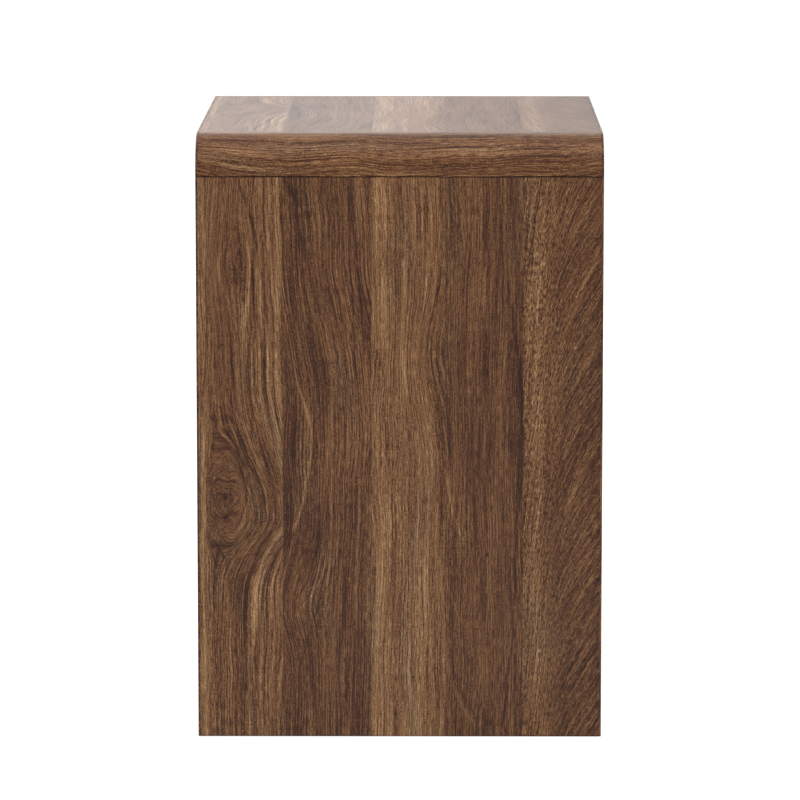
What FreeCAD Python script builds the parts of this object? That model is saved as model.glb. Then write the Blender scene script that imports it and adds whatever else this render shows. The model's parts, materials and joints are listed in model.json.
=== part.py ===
import FreeCAD, Part
import math
import os

# A bedside cabinet with two handleless drawers on ball-bearing runners, in millimetres.
# X runs to the right as seen from the front, Y runs to the back, and Z is up from the floor.

# Outside of the cabinet
width = 500.0
depth = 400.0
height = 600.0

# Top slab, whose two ends are rounded over into the side panels
slab_thickness = 40.0
slab_end_radius = 40.0
lipping_flat = 5.0
seam_arris = 0.6

# Boards
side_thickness = 22.0
board_thickness = 18.0
band_thickness = 2.0
housing_depth = 6.0
back_thickness = 6.0
back_inset = 8.0
back_groove_depth = 8.0
panel_play = 0.1
groove_end_play = 0.5

# Foot of the cabinet
glide_height = 1.5
glide_diameter = 14.0
glide_inset = 30.0
glide_margin = 0.5
plinth_height = 50.0
plinth_recess = 30.0

# Rails across the cabinet
rail_depth = 60.0
rail_recess = 40.0

# Drawer fronts
finger_gap = 18.0
front_thickness = 18.0
front_side_gap = 2.0
front_foot_gap = 3.0
front_arris = 0.8
scoop_height = 14.0
scoop_depth = 10.0
scoop_sag = 2.2

# Drawer boxes
box_wall = 12.0
box_height = 160.0
box_lift = 14.0
box_rear_space = 16.0
box_bottom_thickness = 6.0
box_bottom_lift = 10.0
box_groove_depth = 5.0
box_housing_depth = 4.0

# Ball-bearing runners: an outer member on the cabinet, a middle one and an inner one on the drawer
runner_height = 45.0
runner_lift = 45.0
runner_setback = 2.0
outer_sheet = 1.2
middle_sheet = 1.1
inner_sheet = 1.1
outer_bend = 0.8
middle_bend = 1.4
inner_bend = 1.5
inner_flank = 1.65
ball_radius = 1.5
race_play = 0.05
lean_angle = 65.0
roll_angle = 25.0
hook_angle = 20.0
flank_angle = 30.0
cage_sheet = 0.5
cage_play = 0.35
cage_reach = 0.95
outer_arm_rise = 1.1
inner_arm_rise = 0.5
pocket_play = 0.15
cage_length_share = 0.43
cage_end = 12.0
balls_per_row = 3
ball_sides = 8
screw_hole_diameter = 4.6
screw_hole_sides = 12
screw_hole_shares = (0.1, 0.46, 0.9)
window_height = 9.0
window_corner = 3.0
window_shares = ((0.08, 0.24), (0.74, 0.9))

# Dowels between the side panels and the slab
dowel_diameter = 8.0
dowel_depth = 15.0
dowel_inset = 70.0
dowel_play = 0.05

# One overrun serves every cut, and points nearer than this are one
overrun = 1.0
same_point = 0.005

# Heights that the pieces share
floor_of_panels = glide_height
slab_floor = height - slab_thickness
end_radius = min(slab_end_radius, slab_thickness)
lipping_width = end_radius + lipping_flat
bottom_floor = floor_of_panels + plinth_height
bottom_top = bottom_floor + board_thickness
front_height = (slab_floor - bottom_top - front_foot_gap - 2 * finger_gap) / 2
lower_front_floor = bottom_top + front_foot_gap
upper_front_floor = lower_front_floor + front_height + finger_gap
front_floors = {"lower": lower_front_floor, "upper": upper_front_floor}

# Places across the width and the depth that the pieces share
outer_x = width / 2
inner_x = outer_x - side_thickness
front_y = -depth / 2
back_y = depth / 2
core_front_y = front_y + band_thickness
core_back_y = back_y - band_thickness
back_panel_back_y = back_y - back_inset
back_panel_front_y = back_panel_back_y - back_thickness
box_front_y = front_y + front_thickness
box_back_y = back_panel_front_y - box_rear_space
sides = {"left": -1, "right": 1}

# Runner section, upper half: u grows from the side panel towards the drawer, v up from the middle
race_radius = ball_radius + race_play
middle_back_u = outer_sheet + cage_play + cage_sheet + cage_play
bend_reach = race_radius + middle_bend
roll = math.radians(roll_angle)
lean = math.radians(lean_angle)
flank = math.radians(flank_angle)
outer_ball_u = middle_back_u + middle_bend + bend_reach * math.cos(roll)
outer_ball_v = runner_height / 2 - outer_sheet - race_radius
ball_spacing = 2 * race_radius + middle_sheet
inner_ball_u = outer_ball_u + ball_spacing * math.cos(lean)
inner_ball_v = outer_ball_v - ball_spacing * math.sin(lean)
inner_bend_u = (inner_ball_u + (race_radius + inner_bend) * math.sin(flank)
                + inner_flank * math.cos(flank))
inner_bend_v = (inner_ball_v - (race_radius + inner_bend) * math.cos(flank)
                + inner_flank * math.sin(flank))
runner_thickness = inner_bend_u + inner_bend
runner_front_y = box_front_y + runner_setback
runner_back_y = box_back_y
runner_length = runner_back_y - runner_front_y
cage_length = cage_length_share * runner_length
cage_front_y = (runner_front_y + runner_back_y - cage_length) / 2

# Drawer box width, between its two runners
box_x = inner_x - runner_thickness


def block(x0, x1, y0, y1, z0, z1):
    """A square-edged board between two corners."""
    corner = FreeCAD.Vector(min(x0, x1), min(y0, y1), min(z0, z1))
    return Part.makeBox(abs(x1 - x0), abs(y1 - y0), abs(z1 - z0), corner)


def rod(radius, length, x, y, z, direction=FreeCAD.Vector(0, 0, 1)):
    """A round rod that starts at a point."""
    return Part.makeCylinder(radius, length, FreeCAD.Vector(x, y, z), direction)


def write(name, *pieces):
    """One node: a single solid, or a group of like solids."""
    shape = pieces[0] if len(pieces) == 1 else Part.makeCompound(list(pieces))
    if shape.isNull() or not shape.isValid():
        raise ValueError("bad shape: " + name)
    shape.exportStep(os.path.join("parts", name + ".step"))


# Top slab and side panels

def slab_profile(y0, y1):
    """The slab from end to end, with both upper edges rounded over."""
    flat_x = outer_x - end_radius
    arc_foot_z = height - end_radius
    half = math.radians(45)
    edges = [Part.makeLine(FreeCAD.Vector(-flat_x, y0, height), FreeCAD.Vector(flat_x, y0, height))]
    corners = []
    for side in (1, -1):
        start = FreeCAD.Vector(side * flat_x, y0, height)
        middle = FreeCAD.Vector(side * (flat_x + end_radius * math.sin(half)), y0,
                                arc_foot_z + end_radius * math.cos(half))
        foot = FreeCAD.Vector(side * outer_x, y0, arc_foot_z)
        corner = FreeCAD.Vector(side * outer_x, y0, slab_floor)
        edges.append(Part.Arc(start, middle, foot).toShape())
        if arc_foot_z > slab_floor:
            edges.append(Part.makeLine(foot, corner))
        corners.append(corner)
    edges.append(Part.makeLine(corners[0], corners[1]))
    outline = Part.Wire(Part.__sortEdges__(edges))
    return Part.Face(outline).extrude(FreeCAD.Vector(0, y1 - y0, 0))


def seam_notch(side):
    """A square rod on its corner along the seam, which leaves a fine V between slab and side."""
    x = side * outer_x
    corners = [FreeCAD.Vector(x + seam_arris * right, front_y - overrun, slab_floor + seam_arris * up)
               for right, up in ((1, 0), (0, 1), (-1, 0), (0, -1), (1, 0))]
    return Part.Face(Part.makePolygon(corners)).extrude(FreeCAD.Vector(0, depth + 2 * overrun, 0))


seam_notches = [seam_notch(side) for side in sides.values()]


def dowel_places():
    """Where each slab dowel stands: in the middle of a side panel's thickness."""
    x = outer_x - side_thickness / 2
    return [(side * x, y) for side in sides.values()
            for y in (front_y + dowel_inset, back_y - dowel_inset)]


def dowel_holes():
    return [rod(dowel_diameter / 2 + dowel_play, 2 * (dowel_depth + groove_end_play), x, y,
                slab_floor - dowel_depth - groove_end_play) for x, y in dowel_places()]


def top_slab():
    """A veneered core between two wide end lippings, with a band over its front and back edge."""
    core_x = outer_x - lipping_width
    slab = slab_profile(core_front_y, core_back_y).cut(seam_notches)
    write("top_core", block(-core_x, core_x, core_front_y, core_back_y, slab_floor, height))
    for name, side in sides.items():
        end = block(side * core_x, side * (outer_x + overrun), front_y - overrun, back_y + overrun,
                    slab_floor - overrun, height + overrun)
        write("top_lipping_" + name, slab.common(end).cut(dowel_holes()))
    write("top_band_front", slab_profile(front_y, core_front_y).cut(seam_notches))
    write("top_band_back", slab_profile(core_back_y, back_y).cut(seam_notches))


def side_panels():
    """Full-height side panels, housed for the boards between them and grooved for the back."""
    for name, side in sides.items():
        panel = block(side * inner_x, side * outer_x, core_front_y, core_back_y, floor_of_panels, slab_floor)
        groove = block(side * (inner_x - overrun), side * (inner_x + back_groove_depth),
                       back_panel_front_y - panel_play, back_panel_back_y + panel_play,
                       floor_of_panels - overrun, slab_floor + overrun)
        housings = [block(side * (inner_x - overrun), side * (inner_x + housing_depth), *place)
                    for place in (bottom_place, middle_rail_place, front_rail_place, rear_rail_place)]
        write("side_panel_" + name, panel.cut([groove] + housings + seam_notches + dowel_holes()))
    for edge, y0, y1 in (("front", front_y, core_front_y), ("back", core_back_y, back_y)):
        bands = [block(side * inner_x, side * outer_x, y0, y1, floor_of_panels, slab_floor).cut(seam_notches)
                 for side in sides.values()]
        write("side_bands_" + edge, *bands)


# Boards across the cabinet: front to back and height of each, shared with its housings

front_rail_y = (front_y + rail_recess, front_y + rail_recess + rail_depth)
rear_rail_y = (back_panel_front_y - panel_play - rail_depth, back_panel_front_y - panel_play)
middle_gap_z = lower_front_floor + front_height + finger_gap / 2
bottom_place = (core_front_y, back_panel_front_y - panel_play, bottom_floor, bottom_top)
middle_rail_place = (*front_rail_y, middle_gap_z - board_thickness / 2, middle_gap_z + board_thickness / 2)
front_rail_place = (*front_rail_y, slab_floor - board_thickness, slab_floor)
rear_rail_place = (*rear_rail_y, slab_floor - board_thickness, slab_floor)


def boards_between_sides():
    """Bottom, middle rail and two upper rails in their housings, the plinth and the back."""
    housed_x = inner_x + housing_depth
    write("bottom_panel", block(-housed_x, housed_x, *bottom_place))
    write("bottom_band", block(-inner_x, inner_x, front_y, core_front_y, bottom_floor, bottom_top))
    write("middle_rail", block(-housed_x, housed_x, *middle_rail_place))
    write("upper_rail_front", block(-housed_x, housed_x, *front_rail_place))
    write("upper_rail_rear", block(-housed_x, housed_x, *rear_rail_place))
    plinth_y = front_y + plinth_recess
    write("plinth", block(-inner_x, inner_x, plinth_y, plinth_y + board_thickness, floor_of_panels,
                          bottom_floor))
    back_x = inner_x + back_groove_depth - groove_end_play
    write("back_panel", block(-back_x, back_x, back_panel_front_y, back_panel_back_y, bottom_floor,
                              slab_floor))


def dowels_and_glides():
    """The dowels that place the slab, and the four glides under the side panels."""
    write("slab_dowels", *[rod(dowel_diameter / 2, 2 * dowel_depth, x, y, slab_floor - dowel_depth)
                           for x, y in dowel_places()])
    glide_x = inner_x + glide_margin + glide_diameter / 2
    write("glides", *[rod(glide_diameter / 2, glide_height, side * glide_x, y, 0)
                      for side in sides.values() for y in (front_y + glide_inset, back_y - glide_inset)])


# Drawers

def drawer_front(name, floor):
    """An inset front whose upper edge is scooped out behind, where the fingers take hold."""
    top = floor + front_height
    scoop_y = box_front_y - scoop_depth
    scoop_z = top - scoop_height
    run = math.hypot(scoop_depth, scoop_height)
    middle = FreeCAD.Vector(-front_x, (box_front_y + scoop_y) / 2 - scoop_sag * scoop_height / run,
                            (top + scoop_z) / 2 - scoop_sag * scoop_depth / run)
    corners = [FreeCAD.Vector(-front_x, y, z) for y, z in
               ((scoop_y, top), (front_y, top), (front_y, floor), (box_front_y, floor), (box_front_y, scoop_z))]
    edges = [Part.makeLine(a, b) for a, b in zip(corners, corners[1:])]
    edges.append(Part.Arc(corners[-1], middle, corners[0]).toShape())
    board = Part.Face(Part.Wire(edges)).extrude(FreeCAD.Vector(2 * front_x, 0, 0))
    front_edges = [edge for edge in board.Edges
                   if all(abs(point.Y - front_y) < front_arris / 2 for point in edge.Vertexes)]
    write("drawer_front_" + name, board.makeChamfer(front_arris, front_edges))


front_x = inner_x - front_side_gap


def drawer_box(name, floor):
    """Two sides, a box front and a rear wall round a bottom that slides into grooves."""
    top = floor + box_height
    inside_x = box_x - box_wall
    bottom_z = floor + box_bottom_lift
    bottom_top_z = bottom_z + box_bottom_thickness
    wall_end_x = inside_x + box_housing_depth
    walls = {"front": (box_front_y, box_front_y + box_wall, floor),
             "rear": (box_back_y - box_wall, box_back_y, bottom_top_z)}
    groove = block(-inside_x - box_groove_depth, inside_x + box_groove_depth,
                   box_front_y + box_wall - box_groove_depth, box_back_y + overrun,
                   bottom_z - panel_play, bottom_top_z + panel_play)
    housings = [block(-wall_end_x, wall_end_x, y0, y1, z0, top) for y0, y1, z0 in walls.values()]
    for side_name, side in sides.items():
        wall = block(side * inside_x, side * box_x, box_front_y, box_back_y, floor, top)
        write("drawer_side_" + name + "_" + side_name, wall.cut([groove] + housings))
    for wall_name, (y0, y1, z0) in walls.items():
        wall = block(-wall_end_x, wall_end_x, y0, y1, z0, top)
        write("drawer_box_" + wall_name + "_" + name, wall.cut(groove) if wall_name == "front" else wall)
    bottom_x = inside_x + box_groove_depth - groove_end_play
    write("drawer_bottom_" + name,
          block(-bottom_x, bottom_x, box_front_y + box_wall - box_groove_depth + groove_end_play,
                box_back_y, bottom_z, bottom_top_z))


# Runners: each member is one bent sheet, drawn as the path of one of its faces

def mirrored(path):
    """The path of the upper half carried on through its mirror image below."""
    return path + [(u, -v, radius, -end, -start) for u, v, radius, start, end in reversed(path)]


def outer_member_path():
    """Inner face: a hook over the ball, the flange and the bend down to the web."""
    flange_v = outer_ball_v + race_radius
    return mirrored([(outer_ball_u, outer_ball_v, race_radius, hook_angle, 90),
                     (outer_sheet + outer_bend, flange_v - outer_bend, outer_bend, 90, 180)])


def middle_member_path():
    """Outer face: over the inner ball, down round the outer ball and back to the web."""
    bend_u = outer_ball_u - bend_reach * math.cos(roll)
    bend_v = outer_ball_v - bend_reach * math.sin(roll)
    return mirrored([(inner_ball_u, inner_ball_v, race_radius + middle_sheet, 30, 180 - lean_angle),
                     (outer_ball_u, outer_ball_v, race_radius, 360 - lean_angle, 180 + roll_angle),
                     (bend_u, bend_v, middle_bend, roll_angle, 180)])


def inner_member_path():
    """Outer face: under the inner ball, up along the flank and over to the web."""
    return mirrored([(inner_ball_u, inner_ball_v, race_radius, 180 + roll_angle, 270 + flank_angle),
                     (inner_bend_u, inner_bend_v, inner_bend, 90 + flank_angle, 0)])


def bent_sheet(path, thickness, place, y0, length):
    """A sheet along a path of arcs joined by straight runs; it lies left of the path, or right if negative."""
    def face_points(offset):
        spans = []
        for u, v, radius, start, end in path:
            turn = (end > start) - (end < start)
            reach = radius - offset * turn
            angles = [math.radians(angle) for angle in (start, (start + end) / 2, end)]
            spans.append([place(u + reach * math.cos(angle), y0, v + reach * math.sin(angle))
                          for angle in angles])
        return spans

    near = face_points(0)
    far = [span[::-1] for span in face_points(thickness)[::-1]]
    spans = near + far
    edges = []
    for index, (start, middle, end) in enumerate(spans):
        following = spans[(index + 1) % len(spans)][0]
        if (end - start).Length > same_point:
            edges.append(Part.Arc(start, middle, end).toShape())
        if (following - end).Length > same_point:
            edges.append(Part.makeLine(end, following))
    return Part.Face(Part.Wire(edges)).extrude(FreeCAD.Vector(0, length, 0))


def punch(place, u0, u1, outline):
    """What a press tool takes out of a web: an outline along the runner, driven from u0 to u1."""
    corners = [place(u0, y, v) for y, v in outline + outline[:1]]
    return Part.Face(Part.makePolygon(corners)).extrude(place(u1, 0, 0) - place(u0, 0, 0))


def screw_hole(y):
    """The outline of a screw hole in the middle of the web, with a flat for each side."""
    turns = [2 * math.pi * step / screw_hole_sides for step in range(screw_hole_sides)]
    reach = screw_hole_diameter / 2
    return [(y + reach * math.cos(turn), reach * math.sin(turn)) for turn in turns]


def window(y0, y1):
    """The outline of a long window with cut corners."""
    v = window_height / 2
    in_y0, in_y1, in_v = y0 + window_corner, y1 - window_corner, v - window_corner
    return [(in_y0, v), (in_y1, v), (y1, in_v), (y1, -in_v), (in_y1, -v), (in_y0, -v), (y0, -in_v), (y0, in_v)]


def runner_frame(side, floor):
    """Turns a place in the runner's section into a place in the cabinet."""
    centre_z = floor + box_lift + runner_lift

    def place(u, y, v):
        return FreeCAD.Vector(side * (inner_x - u), y, centre_z + v)
    return place


def ball(centre):
    """A ball with flat facets, inside its true radius."""
    turn = 2 * math.pi / ball_sides
    rings = [(ball_radius * math.cos(rise), ball_radius * math.sin(rise))
             for rise in (-math.pi / 4, 0, math.pi / 4)]
    points = [[centre + FreeCAD.Vector(radius * math.cos(turn * step), radius * math.sin(turn * step), lift)
               for step in range(ball_sides + 1)] for radius, lift in rings]
    low, high = (centre + FreeCAD.Vector(0, 0, pole * ball_radius) for pole in (-1, 1))
    outlines = []
    for step in range(ball_sides):
        for below, above in zip(points, points[1:]):
            outlines.append([below[step], below[step + 1], above[step + 1], above[step]])
        outlines.append([low, points[0][step + 1], points[0][step]])
        outlines.append([high, points[-1][step], points[-1][step + 1]])
    faces = [Part.Face(Part.makePolygon(outline + outline[:1])) for outline in outlines]
    return Part.makeSolid(Part.makeShell(faces))


def ball_rows():
    """Where the balls of one row stand along the runner."""
    pitch = (cage_length - 2 * cage_end) / (balls_per_row - 1)
    return [cage_front_y + cage_end + pitch * step for step in range(balls_per_row)]


def cage(place, back_u, arm_v, ball_u, ball_v):
    """A ball cage: a thin channel whose arms are notched round each ball."""
    tip_u = ball_u + cage_reach
    cage_back_y = cage_front_y + cage_length

    def channel(u, v, y0, y1, end_u):
        low = place(u, y0, -v)
        high = place(end_u, y1, v)
        return block(low.x, high.x, y0, y1, low.z, high.z)
    strip = channel(back_u, arm_v, cage_front_y, cage_back_y, tip_u)
    hollow = channel(back_u + cage_sheet, arm_v - cage_sheet, cage_front_y - overrun,
                     cage_back_y + overrun, tip_u + overrun)
    reach = ball_radius + pocket_play
    pockets = []
    for y in ball_rows():
        pockets.append(channel(ball_u - reach, arm_v + overrun, y - reach, y + reach, tip_u + overrun))
    return strip.cut([hollow] + pockets)


def runners(name, floor):
    """Both runners of one drawer: three members, two cages and two sets of balls on each side."""
    outer_balls = []
    inner_balls = []
    outer_cage_place = (outer_sheet + cage_play, outer_ball_v + outer_arm_rise, outer_ball_u, outer_ball_v)
    inner_cage_place = (middle_back_u + middle_sheet + cage_play, inner_ball_v + inner_arm_rise,
                        inner_ball_u, inner_ball_v)
    screw_holes = [screw_hole(runner_front_y + share * runner_length) for share in screw_hole_shares]
    windows = [window(runner_front_y + start * runner_length, runner_front_y + end * runner_length)
               for start, end in window_shares]
    members = (("outer", outer_member_path(), -outer_sheet, 0, screw_holes),
               ("middle", middle_member_path(), middle_sheet, middle_back_u, windows),
               ("inner", inner_member_path(), -inner_sheet, runner_thickness - inner_sheet, screw_holes))
    for side_name, side in sides.items():
        place = runner_frame(side, floor)
        ending = "_" + name + "_" + side_name
        for member, path, sheet, web_u, outlines in members:
            tools = [punch(place, web_u - cage_play / 2, web_u + abs(sheet) + cage_play / 2, outline)
                     for outline in outlines]
            sheet_member = bent_sheet(path, sheet, place, runner_front_y, runner_length)
            write("runner_" + member + ending, sheet_member.cut(tools))
        write("outer_cage" + ending, cage(place, *outer_cage_place))
        write("inner_cage" + ending, cage(place, *inner_cage_place))
        for y in ball_rows():
            for half in (-1, 1):
                outer_balls.append(ball(place(outer_ball_u, y, half * outer_ball_v)))
                inner_balls.append(ball(place(inner_ball_u, y, half * inner_ball_v)))
    write("outer_balls_" + name, *outer_balls)
    write("inner_balls_" + name, *inner_balls)


os.makedirs("parts", exist_ok=True)
top_slab()
side_panels()
boards_between_sides()
dowels_and_glides()
for drawer, drawer_floor in front_floors.items():
    drawer_front(drawer, drawer_floor)
    drawer_box(drawer, drawer_floor + box_lift)
    runners(drawer, drawer_floor)
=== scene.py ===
import json
import math
import bmesh
import bpy
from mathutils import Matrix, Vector

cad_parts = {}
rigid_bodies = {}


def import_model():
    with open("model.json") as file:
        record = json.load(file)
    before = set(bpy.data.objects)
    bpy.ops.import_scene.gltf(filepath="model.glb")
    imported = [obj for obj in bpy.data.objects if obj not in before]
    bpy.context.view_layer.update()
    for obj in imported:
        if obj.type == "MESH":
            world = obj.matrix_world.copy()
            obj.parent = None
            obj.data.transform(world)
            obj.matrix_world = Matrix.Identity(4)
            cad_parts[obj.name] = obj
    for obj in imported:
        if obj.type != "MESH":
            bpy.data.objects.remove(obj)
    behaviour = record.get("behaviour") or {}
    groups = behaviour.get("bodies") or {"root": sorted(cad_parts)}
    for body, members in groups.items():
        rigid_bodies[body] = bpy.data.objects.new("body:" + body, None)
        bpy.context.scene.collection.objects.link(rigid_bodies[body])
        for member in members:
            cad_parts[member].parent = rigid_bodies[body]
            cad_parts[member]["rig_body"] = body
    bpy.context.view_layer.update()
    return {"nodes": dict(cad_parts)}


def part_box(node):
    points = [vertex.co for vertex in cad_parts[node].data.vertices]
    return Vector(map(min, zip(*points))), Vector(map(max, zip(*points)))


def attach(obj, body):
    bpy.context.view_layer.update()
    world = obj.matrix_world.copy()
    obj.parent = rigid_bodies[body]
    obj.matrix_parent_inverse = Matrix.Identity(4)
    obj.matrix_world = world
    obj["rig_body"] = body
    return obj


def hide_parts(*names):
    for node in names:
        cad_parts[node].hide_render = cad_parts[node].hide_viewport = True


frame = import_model()
scene = bpy.context.scene
scene.view_settings.view_transform = "Standard"

# Side panels: 22 mm boards faced with walnut in upright planks of uneven width, satin lacquered.
# They stand on the glides, carry the slab on dowels and hold every board between them in housings.

mm = 0.001
arris = 0.4 * mm
weld = 0.002 * mm
flat_turn = math.radians(1)
arris_turn = math.radians(30)


def far_corner(node):
    """The highest corner of a CAD piece, in millimetres."""
    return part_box(node)[1] / mm


half_depth = far_corner("side_bands_back").y
side_face = far_corner("side_panel_right").x
panel_top = far_corner("side_panel_right").z
panel_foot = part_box("side_panel_right")[0].z / mm


class Pattern:
    """A value that changes over a board. Patterns add and multiply as numbers do, so grain is a sum."""

    def __init__(self, socket):
        self.socket = socket

    def combined(self, operation, *others):
        """This pattern after an operation, alone or with others."""
        node = self.socket.id_data.nodes.new("ShaderNodeMath")
        node.operation = operation
        for place, item in enumerate((self, *others)):
            feed(item, node.inputs[place])
        return Pattern(node.outputs[0])

    def __add__(self, other):
        return self.combined("ADD", other)

    def __sub__(self, other):
        return self.combined("SUBTRACT", other)

    def __rsub__(self, other):
        return self * -1 + other

    def __mul__(self, other):
        return self.combined("MULTIPLY", other)

    def __truediv__(self, other):
        return self.combined("DIVIDE", other)

    def __pow__(self, other):
        return self.combined("POWER", other)


def feed(item, socket):
    """Gives a socket a plain value, a pattern, or what another node puts out."""
    if isinstance(item, Pattern):
        item = item.socket
    if isinstance(item, bpy.types.NodeSocket):
        socket.id_data.links.new(item, socket)
    else:
        socket.default_value = item


def cloud(across, along, width, length, seed=0.0, detail=0.0):
    """Soft lights above zero and darks below it, about width by length in size."""
    tree = across.socket.id_data
    place = tree.nodes.new("ShaderNodeCombineXYZ")
    feed(across / width + seed, place.inputs["X"])
    feed(along / length, place.inputs["Y"])
    noise = tree.nodes.new("ShaderNodeTexNoise")
    noise.noise_dimensions = "2D"
    noise.inputs["Scale"].default_value = 1
    noise.inputs["Detail"].default_value = detail
    feed(place.outputs["Vector"], noise.inputs["Vector"])
    return Pattern(noise.outputs["Fac"]) - 0.5


def rise(value, low, high):
    """Turns from 0 to 1 as a value goes from low to high."""
    node = value.socket.id_data.nodes.new("ShaderNodeMapRange")
    node.interpolation_type = "SMOOTHSTEP"
    feed(value, node.inputs["Value"])
    node.inputs["From Min"].default_value = low
    node.inputs["From Max"].default_value = high
    return Pattern(node.outputs["Result"])


def hump(value, middle, half_width):
    """A soft hump of height 1 round a middle."""
    return (((value - middle) / half_width) ** 2 * -1).combined("EXPONENT")


def spot(across, along, middle, half_size):
    """A soft spot of height 1 round a place on the board."""
    return hump(across, middle[0], half_size[0]) * hump(along, middle[1], half_size[1])


def thin_lines(across, along, spacing, length, sharpness, seed):
    """Fine lines, 1 on the line and 0 between, which run along the grain, meet and part."""
    wander = cloud(across, along, spacing, length, seed)
    return 1 - rise(wander.combined("ABSOLUTE"), 0.0, sharpness)


sheet_width = 400
line_overrun = 4
line_fade = 14


def drawn_line(across, along, points, half_width):
    """A soft line of height 1 through places on the board, from the top one down."""
    top, foot = points[0][1], points[-1][1]
    course = along.socket.id_data.nodes.new("ShaderNodeFloatCurve")
    curve = course.mapping.curves[0]
    for knot, point in zip(curve.points, (points[0], points[-1])):
        knot.location = ((point[1] - top) / (foot - top), point[0] / sheet_width)
    for point in points[1:-1]:
        curve.points.new((point[1] - top) / (foot - top), point[0] / sheet_width)
    course.mapping.update()
    feed((along - top) / (foot - top), course.inputs["Value"])
    start = rise(along, top - line_overrun, top + line_fade)
    end = 1 - rise(along, foot - line_fade, foot + line_overrun)
    return hump(across - Pattern(course.outputs["Value"]) * sheet_width, 0, half_width) * (start * end)


def toned(tree, factor, stops):
    """A colour for each value of a pattern, from the stops on its way from 0 to 1."""
    ramp = tree.nodes.new("ShaderNodeValToRGB")
    elements = ramp.color_ramp.elements
    while len(elements) < len(stops):
        elements.new(0.5)
    for element, (position, color) in zip(elements, stops):
        element.position = position
        element.color = (*color, 1)
    feed(factor, ramp.inputs["Fac"])
    return ramp.outputs["Color"]


def mixed(tree, factor, first, second, blend="MIX"):
    """One colour that turns into another, or is multiplied by it, as the factor grows."""
    mix = tree.nodes.new("ShaderNodeMix")
    mix.data_type = "RGBA"
    mix.blend_type = blend
    feed(factor, mix.inputs["Factor"])
    feed(first, mix.inputs["A"])
    feed(second, mix.inputs["B"])
    return mix.outputs["Result"]


eye_place = (37, 85)
knot_place = (28, 324)
ripple_place = (62, 340)
# The planks of the sheet, from the front edge to the back: where they meet, how light each one is,
# how lively its figure is, how strong its broad bands are, and where its own grain starts
plank_edges = (9.5, 84.5, 172, 245, 321.5)
plank_tones = (0.68, 0.42, 0.295, 0.545, 0.315, 0.31)
plank_contrasts = (0.85, 0.95, 0.84, 0.95, 0.80, 0.85)
plank_bands = (1.0, 1.0, 0.75, 0.85, 0.65, 0.7)
plank_seeds = (3.1, 17.7, 41.3, 67.9, 93.2, 118.6)
# Streaks that run straight, each with its plank, place across, half width, start, end and strength.
# Pale lines have a strength above zero here and in the next two lists, and dark ones below it.
streaks = (
    (1, 62, 2.2, -80, 340, 0.24), (1, 71, 1.8, -80, 340, 0.24), (1, 79, 2.6, -80, 340, 0.26),
    (1, 14, 4.0, -80, 640, 0.08), (1, 66, 12.0, 385, 640, 0.22),
    (1, 40, 8.0, 385, 640, -0.14), (1, 56.5, 1.3, -80, 330, -0.20), (1, 66.5, 1.2, -80, 330, -0.20),
    (1, 73, 11.0, -80, 320, 0.12), (1, 75, 0.9, -80, 330, -0.16), (1, 84, 0.9, -80, 330, -0.10),
    (2, 158, 3.0, -80, 120, 0.18), (2, 170, 1.4, -80, 200, -0.20), (2, 150, 1.2, 100, 400, 0.14),
    (2, 94, 7.0, -80, 640, -0.10), (3, 184, 12.0, -80, 640, 0.13), (3, 216, 14.0, 320, 640, 0.14),
    (3, 243, 5.0, -80, 330, -0.12), (4, 296, 1.2, -80, 120, -0.16), (4, 308, 1.2, -80, 120, -0.18),
    (4, 252, 4.0, 300, 640, -0.08), (5, 335, 12.0, -80, 640, 0.22), (4, 320.6, 0.8, -80, 640, -0.25),
    (5, 350, 2.5, 10, 60, 0.18), (5, 397, 12.0, 60, 640, -0.10),
)
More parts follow.
